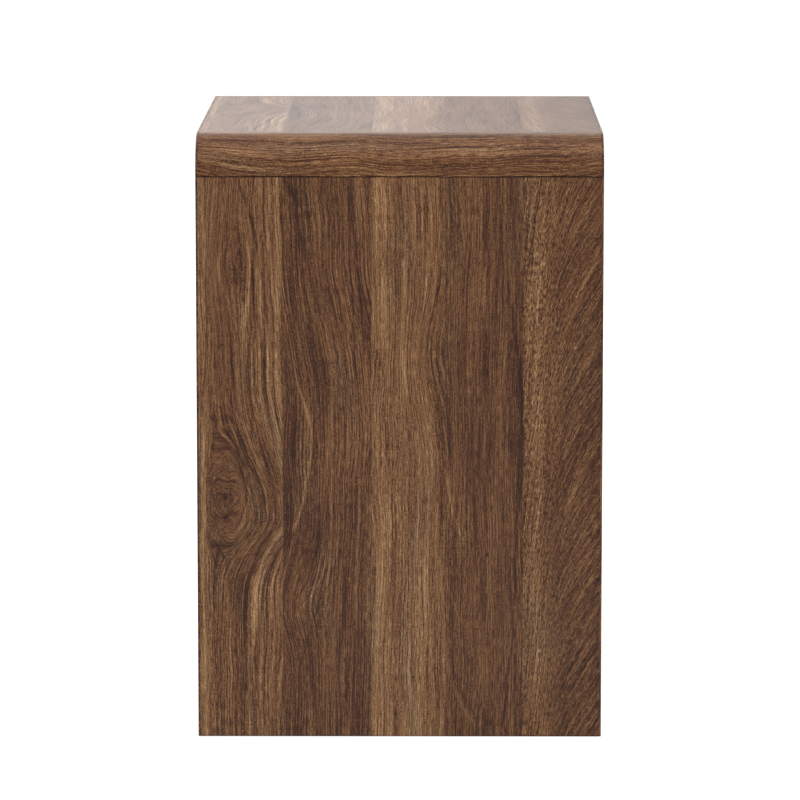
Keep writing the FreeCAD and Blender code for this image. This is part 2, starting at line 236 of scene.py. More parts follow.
# Lines that bend, each with its half width, its strength and the places that it runs through,
# from the top down
bent_lines = (
    (1.4, -0.30, ((42, 0), (50, 28), (57, 50), (60, 84))), (1.6, 0.39, ((24, 74), (22, 90), (25, 112))),
    (1.5, 0.39, ((50, 60), (53, 97), (51, 122), (47, 155))),
    (1.2, -0.24, ((33, 52), (29, 78), (31, 118))),
    (3.4, 0.22, ((49, 112), (45, 150), (41, 190), (39, 268))),
    (1.3, -0.24, ((57, 84), (55, 130), (51, 180), (53, 230), (59, 290))),
    (1.6, -0.33, ((22, 231), (32, 237), (40, 250), (50, 279), (60, 299), (66, 334))),
    (1.3, -0.27, ((16, 243), (29, 252), (37, 270), (45, 300), (47, 322), (42, 346))),
    (1.1, -0.24, ((47, 214), (58, 246), (68, 284), (76, 332))),
    (1.3, 0.30, ((42, 232), (52, 262), (63, 296), (71, 334))),
    (1.6, 0.36, ((80, 350), (69, 372), (60, 400), (56, 440), (55, 510))),
    (1.4, -0.33, ((74, 350), (62, 368), (52, 392), (48, 430), (48, 520))),
    (1.1, -0.27, ((83, 362), (74, 388), (68, 420), (66, 470), (66, 556))),
    (1.2, -0.27, ((8, 352), (20, 366), (30, 392), (33, 430))),
    (2.4, -0.24, ((86, 0), (95, 16), (104, 31), (113, 39))),
    (1.4, -0.18, ((127, 0), (121, 22), (112, 38))),
    (1.2, -0.24, ((122, 348), (116, 380), (106, 405), (90, 428))),
    (1.4, 0.21, ((130, 366), (123, 394), (111, 418), (92, 442))),
    (1.2, -0.21, ((137, 376), (129, 410), (117, 438), (105, 472), (101, 530))),
    (1.4, 0.45, ((98, 200), (109, 235), (113, 262), (111, 286), (106, 308), (102, 334), (92, 354))),
    (1.2, -0.36, ((153, 26), (158, 80), (162, 130), (165, 186))),
    (1.1, -0.30, ((150, 0), (152, 100), (158, 205))),
    (1.3, -0.04, ((232, 70), (218, 118), (210, 158), (211, 184), (217, 216), (226, 250))),
    (1.1, -0.12, ((242, 100), (229, 138), (222, 166), (224, 192), (231, 222))),
    (1.4, 0.12, ((222, 60), (209, 112), (203, 160), (205, 196), (212, 240), (222, 290))),
    (1.5, -0.30, ((307, 100), (310, 135), (316, 172), (319.5, 205), (319.5, 330))),
    (5.0, -0.14, ((315, 150), (314, 200), (315, 250), (316, 285))),
    (1.3, -0.39, ((318, 280), (315.5, 340), (313.5, 400), (312, 462), (307, 496), (302, 552))),
    (1.3, 0.24, ((245, 392), (251, 416), (259, 438), (270, 455))),
    (1.4, 0.21, ((246, 476), (254, 506), (264, 530), (278, 550))),
    (1.4, -0.21, ((250, 474), (259, 506), (270, 530), (283, 550))),
    (1.3, 0.36, ((247, 290), (250, 320), (257, 346), (268, 369))),
    (3.0, -0.14, ((399, 118), (384, 158), (371, 204), (362, 252), (358, 304))),
    (2.4, -0.16, ((399, 212), (380, 252), (368, 300), (360, 352))),
    (2.0, 0.19, ((399, 62), (382, 104), (366, 146), (354, 192), (350, 240))),
    (2.0, 0.19, ((399, 258), (382, 292), (368, 326), (359, 366))),
    (3.0, -0.12, ((399, 408), (380, 446), (366, 486), (358, 530))),
)
# Spots: the eyes, the specks in them, the curl and the small pin knots, each with its place,
# its half sizes and its strength
spots = (
    ((37, 95), (8, 16), -0.22), ((37, 103), (7, 2.2), -0.14), ((27, 316), (15, 36), -0.27),
    ((28, 318), (2.1, 2.4), -0.90), ((28, 338), (1.8, 3.0), -0.65), ((30, 276), (7, 16), -0.08),
    ((98, 20), (10, 22), -0.12), ((112, 36), (7, 3.0), -0.22), ((105, 62), (12, 3.0), -0.12),
    ((241, 173), (2.5, 7), -0.34), ((93, 308), (2.0, 3.0), -0.26), ((106, 372), (3.0, 3.0), -0.26),
    ((287, 375), (1.2, 1.6), -0.60), ((196, 230), (9, 60), 0.08), ((310, 205), (9, 22), -0.08),
    ((272, 34), (10, 4.0), -0.14), ((395, 170), (9, 25), -0.10), ((310, 262), (9, 12), -0.10),
    ((286, 546), (7, 14), -0.16),
)
cool_tint = (0.92, 1.02, 1.12, 1)
# The colours of the wood, each with its tone, from the darkest line to the palest
tone_colors = (
    (-0.30, (0.0190, 0.0050, 0.0018)), (0.03, (0.0500, 0.0152, 0.0052)), (0.20, (0.0805, 0.0294, 0.0110)),
    (0.37, (0.1190, 0.0500, 0.0188)), (0.50, (0.1510, 0.0678, 0.0264)), (0.63, (0.1880, 0.0895, 0.0362)),
    (0.79, (0.2380, 0.1215, 0.0515)), (0.94, (0.2910, 0.1590, 0.0715)), (1.30, (0.4350, 0.2680, 0.1380)),
)


def walnut_planks():
    """The grain of the whole sheet of planks, at millimetres across, along and into the board."""
    tree = bpy.data.node_groups.new("walnut_planks", "ShaderNodeTree")
    for name in ("Across", "Along", "Depth", "Lightness", "Contrast", "Figure"):
        tree.interface.new_socket(name, in_out="INPUT", socket_type="NodeSocketFloat")
    tree.interface.new_socket("Color", in_out="OUTPUT", socket_type="NodeSocketColor")
    tree.interface.new_socket("Tone", in_out="OUTPUT", socket_type="NodeSocketFloat")
    tree.interface.new_socket("Relief", in_out="OUTPUT", socket_type="NodeSocketFloat")
    entry = tree.nodes.new("NodeGroupInput")
    across, along, depth = (Pattern(entry.outputs[place]) for place in range(3))
    lightness, contrast, figure = (Pattern(entry.outputs[place]) for place in range(3, 6))

    steps = [across.combined("GREATER_THAN", edge) for edge in plank_edges]

    def by_plank(values):
        """The value of the plank that a place is on."""
        return sum((steps[place] * (values[place + 1] - values[place]) for place in range(len(steps))),
                   steps[0] * 0 + values[0])

    def on_plank(number):
        """1 on one plank and 0 on the others."""
        return by_plank([1.0 if place == number else 0.0 for place in range(len(plank_tones))])

    plank = [on_plank(number) for number in range(len(plank_tones))]
    seed = by_plank(plank_seeds)

    # Where the fibres run: straight, but wandering a little and pushed aside by eyes and curls
    grain = across + depth * 0.7
    grain = grain + cloud(across, along, 90, 220, seed) * 11 + cloud(across, along, 50, 64, seed + 9) * 4
    grain = grain + cloud(across, along, 26, 22, seed + 13) * 1.2
    eye = (across - eye_place[0]) * spot(across, along, eye_place, (19, 40)) * -0.62
    knot_push = hump(along, 335, 75 - rise(along, 325, 345) * 38)
    knot = knot_push * (10 - rise(across, 12, 38) * 40)
    ring = ((across - knot_place[0]) ** 2 + ((along - knot_place[1]) / 1.2) ** 2).combined("SQRT")
    knot_height = 52 - rise(along, 305, 335) * 8
    reach = (((across - 26) / 20) ** 2 + ((along - 317) / knot_height) ** 2).combined("SQRT")
    in_knot = plank[1] * (1 - rise(reach, 0.62, 1.14))
    sway = 6 - ((along - 245) / 115).combined("COSINE") * 6 - rise(along, 80, 235) * 17
    sway = sway + hump(along, 262, 60) * rise(across, 124, 86) * 8
    sway = sway + hump(along, 425, 45) * rise(across, 140, 95) * 14
    bulge = hump(along, 175, 52) * rise(across, 182, 232) * 15
    grain = grain + plank[1] * (eye + knot) + plank[2] * sway + plank[3] * bulge + plank[5] * along * 0.1

    # Where the growth lines run: the fibres' way, but in tall arches on one plank, and round the knot
    wander = cloud(along, along * 0, 140, 1, 5.5) * 20
    arch = ((across - 276 + wander) ** 2 + ((1 - ((along - 60) / 260).combined("COSINE")) * 23 + 3) ** 2)
    arch = arch.combined("SQRT") + cloud(across, along, 12, 50, 31) * 4
    growth = grain + plank[4] * (arch - grain)
    swirl = ring + cloud(across, along, 10, 14, 3.3) * 9
    knotted = cloud(swirl, along, 1.2, 9, 77) * 0.80 + cloud(swirl, along, 3.2, 30, 78) * 0.34
    knotted = knotted + cloud(across, along, 0.9, 2.2, 79) * 0.80 + cloud(across, along, 4, 7, 81) * 0.40
    # The last plank's grain fans out towards its far edge
    fan = (across - 322) * 0.6 - ((322 - across) / 14).combined("EXPONENT") * 109 + along * 0.42
    fan = fan + cloud(across, along, 4.5, 4.5, 21) * 1.7

    def bands(run, shift):
        """Broad bands and dark growth lines that follow a run."""
        phase = run / 6.0 + cloud(run, along, 26, 420, shift) * 6
        dark = ((phase * math.tau).combined("SINE") * 0.5 + 0.5) ** 4
        strength = cloud(run, along, 14, 300, shift + 3) + 0.45
        broad = cloud(run, along, 17, 480, shift + 1) * 0.36 + cloud(run, along, 7, 320, shift + 2) * 0.34
        return broad - dark * strength * 0.42

    def fibres(run, shift):
        """Fibres, pores and thin dark lines that follow a run."""
        pores = cloud(run, along, 0.8, 2.2, shift + 5) * 0.80
        pores = pores + cloud(run, along, 0.95, 9, shift + 6) * 0.85
        threads = cloud(run, along, 1.15, 75, shift + 7) * 0.92
        threads = threads + cloud(run, along, 2.3, 160, shift + 8) * 0.40
        return pores + threads - thin_lines(run, along, 3.1, 130, 0.04, shift + 4) * 0.12

    fine = fibres(grain, seed)
    fanned = plank[5] * rise(across, 338, 360)
    tone = bands(growth, seed) * by_plank(plank_bands) + fine
    tone = tone + fanned * (bands(fan, 151.3) * 0.45 + fibres(fan, 163.9) - tone)
    tone = tone + in_knot * (knotted - tone)
    mottle = plank[5] * (1 - rise(across, 340, 392) * 0.85) * (hump(along, 60, 400) * 0.35 + 0.65)
    crumpled = grain + cloud(across, along, 3.4, 3.0, 4) * 2.8
    crackle = cloud(crumpled, along, 1.15, 4.6, 12.3) * mottle * 1.4
    calm = plank[1] * spot(across, along, (26, 110), (17, 130))
    tone = (tone + crackle) * by_plank(plank_contrasts) * (1 - calm * 0.35) * contrast
    tone = tone + by_plank(plank_tones) + lightness + cloud(across, along, 26, 130, seed + 10, 1.0) * 0.24
    ripple = ((along + across * 0.2) * 2.1).combined("SINE") * spot(across, along, ripple_place, (15, 6))
    tone = tone + ripple * 0.14 - spot(across, along, ripple_place, (17, 5)) * 0.12
    waver = across + cloud(across, along, 14, 30, 9.4) * 4
    sweep = across + cloud(across, along, 60, 110, 15.2) * 7 + plank[1] * knot
    for number, place, half_width, start, end, strength in streaks:
        length = rise(along, start - 40, start + 40) * (1 - rise(along, end - 40, end + 40))
        tone = tone + plank[number] * hump(sweep, place, half_width) * length * strength
    drawn = steps[0] * 0
    for half_width, strength, points in bent_lines:
        drawn = drawn + drawn_line(waver, along, points, half_width) * strength
    for place, half_size, strength in spots:
        drawn = drawn + spot(across, along, place, half_size) * strength
    tone = tone + drawn * figure

    # A ramp takes values from 0 to 1, and tones reach past both, so they are halved about the middle
    brown = toned(tree, tone / 2 + 0.25, [(place / 2 + 0.25, color) for place, color in tone_colors])
    grey = rise(cloud(grain, along, 22, 130, seed + 11), 0.02, 0.28)
    grey = grey + spot(across, along, (44, 190), (5, 60))
    leave = tree.nodes.new("NodeGroupOutput")
    feed(mixed(tree, grey.combined("MINIMUM", 1.0) * 0.7, brown, cool_tint, "MULTIPLY"),
         leave.inputs["Color"])
    feed(tone, leave.inputs["Tone"])
    feed(fine, leave.inputs["Relief"])
    return tree


walnut_tree = walnut_planks()


def surface(name):
    """A new material with its shader, and the place on the object in millimetres."""
    material = bpy.data.materials.new(name)
    material.use_nodes = True
    tree = material.node_tree
    shader = tree.nodes["Principled BSDF"]
    texture = tree.nodes.new("ShaderNodeTexCoord")
    spread = tree.nodes.new("ShaderNodeSeparateXYZ")
    feed(texture.outputs["Object"], spread.inputs["Vector"])
    place = {axis: Pattern(spread.outputs[axis]) * 1000 for axis in "XYZ"}
    return material, tree, shader, place


def raised(tree, shader, height, distance):
    """Fine relief from a pattern."""
    bump = tree.nodes.new("ShaderNodeBump")
    bump.inputs["Strength"].default_value = 0.5
    bump.inputs["Distance"].default_value = distance
    feed(height, bump.inputs["Height"])
    feed(bump.outputs["Normal"], shader.inputs["Normal"])


def grained(tree, grain_tree, place, **directions):
    """The grain of a group, led by functions of the place on the object."""
    group = tree.nodes.new("ShaderNodeGroup")
    group.node_tree = grain_tree
    for name, direction in directions.items():
        feed(direction(place), group.inputs[name])
    return group


def walnut(name, across, along, depth, lightness, contrast=1.0, figure=1.0):
    """Lacquered walnut. Its directions and lightness are functions of the place on the object."""
    material, tree, shader, place = surface(name)
    group = grained(tree, walnut_tree, place,
                    Across=across, Along=along, Depth=depth, Lightness=lightness)
    group.inputs["Contrast"].default_value = contrast
    group.inputs["Figure"].default_value = figure
    feed(group.outputs["Color"], shader.inputs["Base Color"])
    feed(0.32 - Pattern(group.outputs["Tone"]) * 0.06, shader.inputs["Roughness"])
    shader.inputs["Specular IOR Level"].default_value = 0.22
    raised(tree, shader, group.outputs["Relief"], 0.06 * mm)
    return material


def dressed(node, material, edge_width=arris):
    """The CAD piece with its facets merged, its corners broken and its finish on."""
    source = frame["nodes"][node]
    mesh = source.data.copy()
    mesh.materials.clear()
    mesh.materials.append(material)
    work = bmesh.new()
    work.from_mesh(mesh)
    bmesh.ops.remove_doubles(work, verts=work.verts, dist=weld)
    bmesh.ops.dissolve_limit(work, angle_limit=flat_turn, verts=work.verts, edges=work.edges)
    for face in work.faces:
        face.smooth = True
        face.material_index = 0
    work.to_mesh(mesh)
    work.free()
    mesh.set_sharp_from_angle(angle=arris_turn)
    piece = bpy.data.objects.new(node + "_finished", mesh)
    scene.collection.objects.link(piece)
    if edge_width:
        bevel = piece.modifiers.new("arris", "BEVEL")
        bevel.width = edge_width
        bevel.segments = 2
        bevel.limit_method = "ANGLE"
        bevel.angle_limit = arris_turn
        bevel.harden_normals = True
    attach(piece, source["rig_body"])
    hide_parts(node)
    return piece


def painted_groove_shade(place):
    """Painted shade: darker lines where shade falls in the groove under the slab and along the foot."""
    return hump(place["Z"], panel_top, 0.65) * -0.6 + hump(place["Z"], panel_foot, 1.0) * -0.4


# Each board is cut from the sheet of planks at its own place, given in millimetres along the planks
left_cut = 1460
# The sides carry painted shade along the groove under the slab and along their foot
side_right = walnut("walnut side right", lambda p: p["Y"] + half_depth, lambda p: panel_top - p["Z"],
                    lambda p: p["X"] - side_face, painted_groove_shade)
side_left = walnut("walnut side left", lambda p: half_depth - p["Y"], lambda p: p["Z"] + left_cut,
                   lambda p: p["X"] + side_face, painted_groove_shade)
dressed("side_panel_right", side_right)
dressed("side_panel_left", side_left)

# Slab: a core faced with the same planks, now across the cabinet so that they line up with the sides,
# between two solid walnut end lippings rounded over in a quarter circle, with their grain front to back.

top_cut = 274
slab_top = far_corner("top_core").z
core_end = far_corner("top_core").x
front_edge_width = 10
lipping_across = 86
lipping_cut = 2500
lipping_spread = 700


def front_edge_shade(place):
    """The front edge of the top, a little darker than the rest of its first plank."""
    return hump(place["Y"], -half_depth, front_edge_width) * -0.12


top_finish = walnut("walnut top", lambda p: p["Y"] + half_depth, lambda p: top_cut - p["X"],
                    lambda p: p["Z"] - slab_top, front_edge_shade, contrast=0.72, figure=0.4)


def round_the_end(place):
    """The distance over the quarter round from the top's end, with the grain's slow waves."""
    over = place["X"].combined("ABSOLUTE") - place["Z"] + (slab_top - core_end + lipping_across)
    return over + cloud(place["Z"], place["Y"], 60, 70, 2.0) * 11


# The lippings carry painted shade along their lower edge, at the groove over the sides
lipping_finish = walnut("walnut lipping", round_the_end,
                        lambda p: p["Y"] + p["X"].combined("SIGN") * lipping_spread + lipping_cut,
                        lambda p: 0.0, lambda p: painted_groove_shade(p) + 0.08, contrast=1.3)
dressed("top_core", top_finish)
for hand in ("left", "right"):
    dressed("top_lipping_" + hand, lipping_finish)

# Edge bands: 2 mm walnut strips glued over the front and back edges of the slab, sides and bottom,
# trimmed flush and a shade darker than the faces.

upright_across = 130
upright_cut = 3300
level_across = 440
level_cut = 3900
# The upright bands carry the same painted shade at the groove under the slab and at the foot
upright_band = walnut("walnut band upright", lambda p: p["X"] + upright_across - p["Y"],
                      lambda p: p["Z"] + upright_cut, lambda p: 0.0, lambda p: painted_groove_shade(p) - 0.16)
level_band = walnut("walnut band level", lambda p: p["Z"] - level_across - p["Y"] * 0.1,
                    lambda p: p["X"] + level_cut, lambda p: 0.0, lambda p: -0.10)
for node in ("side_bands_front", "side_bands_back"):
    dressed(node, upright_band)
for node in ("top_band_front", "top_band_back", "bottom_band"):
    dressed(node, level_band)

# Boards between the sides: bottom, plinth and rails of 18 mm walnut-faced board, with their ends
# in 6 mm housings and the grain running from side to side.

boards_cut = 5200
plinth_cut = 6100
plinth_across = 110
inside_flat = walnut("walnut inside flat", lambda p: p["Y"] + half_depth, lambda p: p["X"] + boards_cut,
                     lambda p: p["Z"], lambda p: -0.04)
inside_upright = walnut("walnut inside upright", lambda p: p["Z"] + plinth_across,
                        lambda p: p["X"] + plinth_cut, lambda p: p["Y"], lambda p: -0.06)
for node in ("bottom_panel", "middle_rail", "upper_rail_front", "upper_rail_rear"):
    dressed(node, inside_flat)
dressed("plinth", inside_upright)

# Back: a 6 mm walnut-faced panel with upright grain, let into grooves in both sides
# and screwed to the bottom and the rear rail.

back_cut = 7300
back_finish = walnut("walnut back", lambda p: p["X"] + sheet_width / 2, lambda p: p["Z"] + back_cut,
                     lambda p: p["Y"], lambda p: -0.06)
dressed("back_panel", back_finish)

# Drawer fronts: inset between the sides and scooped out behind their upper edges for the fingers,
# with upright grain that runs on from the lower front to the upper one.

front_cut = 2660
front_arris = 0.25 * mm
front_finish = walnut("walnut front", lambda p: p["X"] + sheet_width / 2, lambda p: front_cut - p["Z"],
                      lambda p: p["Y"] + half_depth, lambda p: 0.0)
for level in ("upper", "lower"):
    dressed("drawer_front_" + level, front_finish, front_arris)

# Drawer boxes: 12 mm birch ply, clear lacquered, housed at the corners round a 6 mm ply bottom.
# The plies show on every edge, in turn along and across the grain.

ply_thickness = 1.33
end_grain = (0.25, 0.145, 0.075, 1)
long_grain = (0.60, 0.44, 0.27, 1)
birch_colors = ((0.0, (0.40, 0.26, 0.145)), (0.5, (0.56, 0.40, 0.245)), (1.0, (0.68, 0.52, 0.34)))


def fine_grain():
    """Plain close grain for birch, beech and the like: 0 in the darks and 1 in the lights."""
    tree = bpy.data.node_groups.new("fine_grain", "ShaderNodeTree")
    for name in ("Across", "Along", "Depth"):
        tree.interface.new_socket(name, in_out="INPUT", socket_type="NodeSocketFloat")
    tree.interface.new_socket("Grain", in_out="OUTPUT", socket_type="NodeSocketFloat")
    entry = tree.nodes.new("NodeGroupInput")
    across, along, depth = (Pattern(entry.outputs[place]) for place in range(3))
    run = across + depth * 0.8 + cloud(across, along, 40, 160) * 14
    grain = cloud(run, along, 14, 320, 2) * 0.9 + cloud(run, along, 3.2, 90, 4) * 0.5
    grain = grain + cloud(run, along, 1.0, 9, 6) * 0.35 + cloud(across, along, 30, 40, 8, 1) * 0.4 + 0.5
    leave = tree.nodes.new("NodeGroupOutput")
    feed(grain, leave.inputs["Grain"])
    return tree


fine_tree = fine_grain()


def ply_edge(tree, color, place, face_axis, faces):
    """The face colour, with the plies in turn along and across the grain where an edge shows."""
    texture = tree.nodes.new("ShaderNodeTexCoord")
    turn = tree.nodes.new("ShaderNodeSeparateXYZ")
    feed(texture.outputs["Normal"], turn.inputs["Vector"])
    edge = 1 - rise(Pattern(turn.outputs[face_axis]).combined("ABSOLUTE"), 0.4, 0.7)
    near = [(place[face_axis] - face).combined("ABSOLUTE") for face in faces]
    through = near[0].combined("MINIMUM", near[1])
    plies = rise((through * (math.pi / ply_thickness)).combined("SINE"), -0.25, 0.25)
    streaked = plies + cloud(place["X"] + place["Y"], place["Z"], 1.5, 1.5, 3) * 0.5
    return mixed(tree, edge, color, mixed(tree, streaked, end_grain, long_grain))


def pale_wood(name, across, along, depth, colors, roughness=0.42, face_axis=None, faces=()):
    """A pale, close-grained wood with a clear finish, in one piece or in plies between its faces."""
    material, tree, shader, place = surface(name)
    group = grained(tree, fine_tree, place, Across=across, Along=along, Depth=depth)
    color = toned(tree, group.outputs["Grain"], colors)
    if face_axis:
        color = ply_edge(tree, color, place, face_axis, faces)
    feed(color, shader.inputs["Base Color"])
    shader.inputs["Roughness"].default_value = roughness
    raised(tree, shader, group.outputs["Grain"], 0.05 * mm)
    return material


def faces_of(node, axis):
    """Where a board's two faces lie along an axis, in millimetres."""
    return [corner["XYZ".index(axis)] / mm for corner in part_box(node)]


birch_bottom = pale_wood("birch ply bottom", lambda p: p["Y"], lambda p: p["X"], lambda p: p["Z"],
                         birch_colors)
for hand in ("left", "right"):
    birch_side = pale_wood("birch ply side " + hand, lambda p: p["Z"], lambda p: p["Y"], lambda p: p["X"],
                           birch_colors, face_axis="X",
                           faces=faces_of(f"drawer_side_upper_{hand}", "X"))
    for level in ("upper", "lower"):
        dressed(f"drawer_side_{level}_{hand}", birch_side)
for wall in ("front", "rear"):
    birch_wall = pale_wood("birch ply wall " + wall, lambda p: p["Z"], lambda p: p["X"], lambda p: p["Y"],
                           birch_colors, face_axis="Y",
                           faces=faces_of(f"drawer_box_{wall}_upper", "Y"))
    for level in ("upper", "lower"):
        dressed(f"drawer_box_{wall}_{level}", birch_wall)
for level in ("upper", "lower"):
    dressed("drawer_bottom_" + level, birch_bottom)

# Runners: three bent members of zinc-plated sheet steel on each side of a drawer, with two ball cages
# of thin strip between them. The outer member is screwed to the side panel, the inner one to the box.


def shaded(tree, factor, color, depth):
    """A colour that falls to a darker one of the same hue where the factor is 0."""
    return mixed(tree, factor, (*(depth * part for part in color), 1), (*color, 1))


def bare_steel(name, color, roughness):
    """Steel with fine drawn lines from front to back and a faint cloudy plating."""
    material, tree, shader, place = surface(name)
    lines = cloud(place["X"] + place["Z"], place["Y"], 0.5, 30)
    clouds = cloud(place["Z"], place["Y"], 9, 14, 3, 2)
    feed(lines * 0.12 + clouds * 0.18 + roughness, shader.inputs["Roughness"])
    feed(shaded(tree, clouds + lines * 0.5 + 0.5, color, 0.8), shader.inputs["Base Color"])
    shader.inputs["Metallic"].default_value = 1
    raised(tree, shader, lines, 0.02 * mm)
    return material


zinc = bare_steel("zinc-plated steel", (0.58, 0.59, 0.60), 0.36)
strip_steel = bare_steel("cage strip steel", (0.55, 0.56, 0.58), 0.38)
ball_steel = bare_steel("polished ball steel", (0.78, 0.79, 0.80), 0.14)
for level in ("upper", "lower"):
    for hand in ("left", "right"):
        for member in ("outer", "middle", "inner"):
            dressed(f"runner_{member}_{level}_{hand}", zinc, 0)
        for place in ("outer", "inner"):
            dressed(f"{place}_cage_{level}_{hand}", strip_steel, 0)


def in_and_out(tree, sizes):
    """The sockets of a geometry tree: points in, a finished mesh out, and named inputs for its sizes."""
    tree.interface.new_socket("Geometry", in_out="INPUT", socket_type="NodeSocketGeometry")
    for name in sizes:
        tree.interface.new_socket(name, in_out="INPUT", socket_type="NodeSocketFloat")
    tree.interface.new_socket("Material", in_out="INPUT", socket_type="NodeSocketMaterial")
    tree.interface.new_socket("Geometry", in_out="OUTPUT", socket_type="NodeSocketGeometry")
    return tree.nodes.new("NodeGroupInput")


def finish_tree(tree, entry, placed):
    """Makes the instances real and gives them their material."""
    real = tree.nodes.new("GeometryNodeRealizeInstances")
    coat = tree.nodes.new("GeometryNodeSetMaterial")
    leave = tree.nodes.new("NodeGroupOutput")
    feed(placed.outputs["Instances"], real.inputs["Geometry"])
    feed(real.outputs["Geometry"], coat.inputs["Geometry"])
    feed(entry.outputs["Material"], coat.inputs["Material"])
    feed(coat.outputs["Geometry"], leave.inputs["Geometry"])


def set_out(name, tree, points, facings, settings, body):
    """Runs a geometry tree on points in millimetres and keeps what it makes as a plain mesh on a body."""
    marks = bpy.data.meshes.new(name + " marks")
    marks.from_pydata([Vector(point) * mm for point in points], [], [])
    facing = marks.attributes.new("facing", "FLOAT_VECTOR", "POINT")
    for mark, direction in zip(facing.data, facings):
        mark.vector = direction
    maker = bpy.data.objects.new(name + " maker", marks)
    scene.collection.objects.link(maker)
    modifier = maker.modifiers.new("made", "NODES")
    modifier.node_group = tree
    for socket in tree.interface.items_tree:
        if socket.in_out == "INPUT" and socket.name in settings:
            modifier[socket.identifier] = settings[socket.name]
    mesh = bpy.data.meshes.new_from_object(maker.evaluated_get(bpy.context.evaluated_depsgraph_get()))
    maker.modifiers.remove(modifier)
    bpy.data.objects.remove(maker)
    for polygon in mesh.polygons:
        polygon.use_smooth = True
    mesh.set_sharp_from_angle(angle=arris_turn)
    piece = bpy.data.objects.new(name, mesh)
    scene.collection.objects.link(piece)
    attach(piece, body)
    return piece


def ball_tree():
    """A smooth steel ball on every point."""
    tree = bpy.data.node_groups.new("bearing balls", "GeometryNodeTree")
    entry = in_and_out(tree, ("Ball Radius",))
    ball = tree.nodes.new("GeometryNodeMeshIcoSphere")
    ball.inputs["Subdivisions"].default_value = 4
    placed = tree.nodes.new("GeometryNodeInstanceOnPoints")
    feed(entry.outputs["Ball Radius"], ball.inputs["Radius"])
    feed(entry.outputs["Geometry"], placed.inputs["Points"])
    feed(ball.outputs["Mesh"], placed.inputs["Instance"])
    finish_tree(tree, entry, placed)
    return tree


def runner_middle(level):
    """The height of the middle of a drawer's runners, in millimetres."""
    low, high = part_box(f"runner_outer_{level}_right")
    return (low.z + high.z) / 2 / mm


# The balls lie in three pairs along the runner. For each cage: how far its balls are from the back
# of the runner, and how far above and below its middle
ball_radius = 1.5
ball_rows = (-68.25, -5.0, 58.25)
ball_places = {"outer": (6.474, 19.75), "inner": (8.249, 15.944)}
runner_back = far_corner("runner_outer_upper_right").x
balls = ball_tree()
for level in ("upper", "lower"):
    for place, (inwards, up) in ball_places.items():
        centres = [(side * (runner_back - inwards), row, runner_middle(level) + half * up)
                   for side in (-1, 1) for row in ball_rows for half in (-1, 1)]
        settings = {"Ball Radius": ball_radius * mm, "Material": ball_steel}
        piece = set_out(f"{place}_balls_{level}_smooth", balls, centres, [(0, 0, 1)] * len(centres),
                        settings, f"{place}_cages_{level}")
        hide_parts(f"{place}_balls_{level}")

# Screws: zinc-plated steel with a cross recess. Flat heads hold the outer members, round ones
# the inner members and the drawer fronts, and sunk ones the rails, the bottom and the back panel.


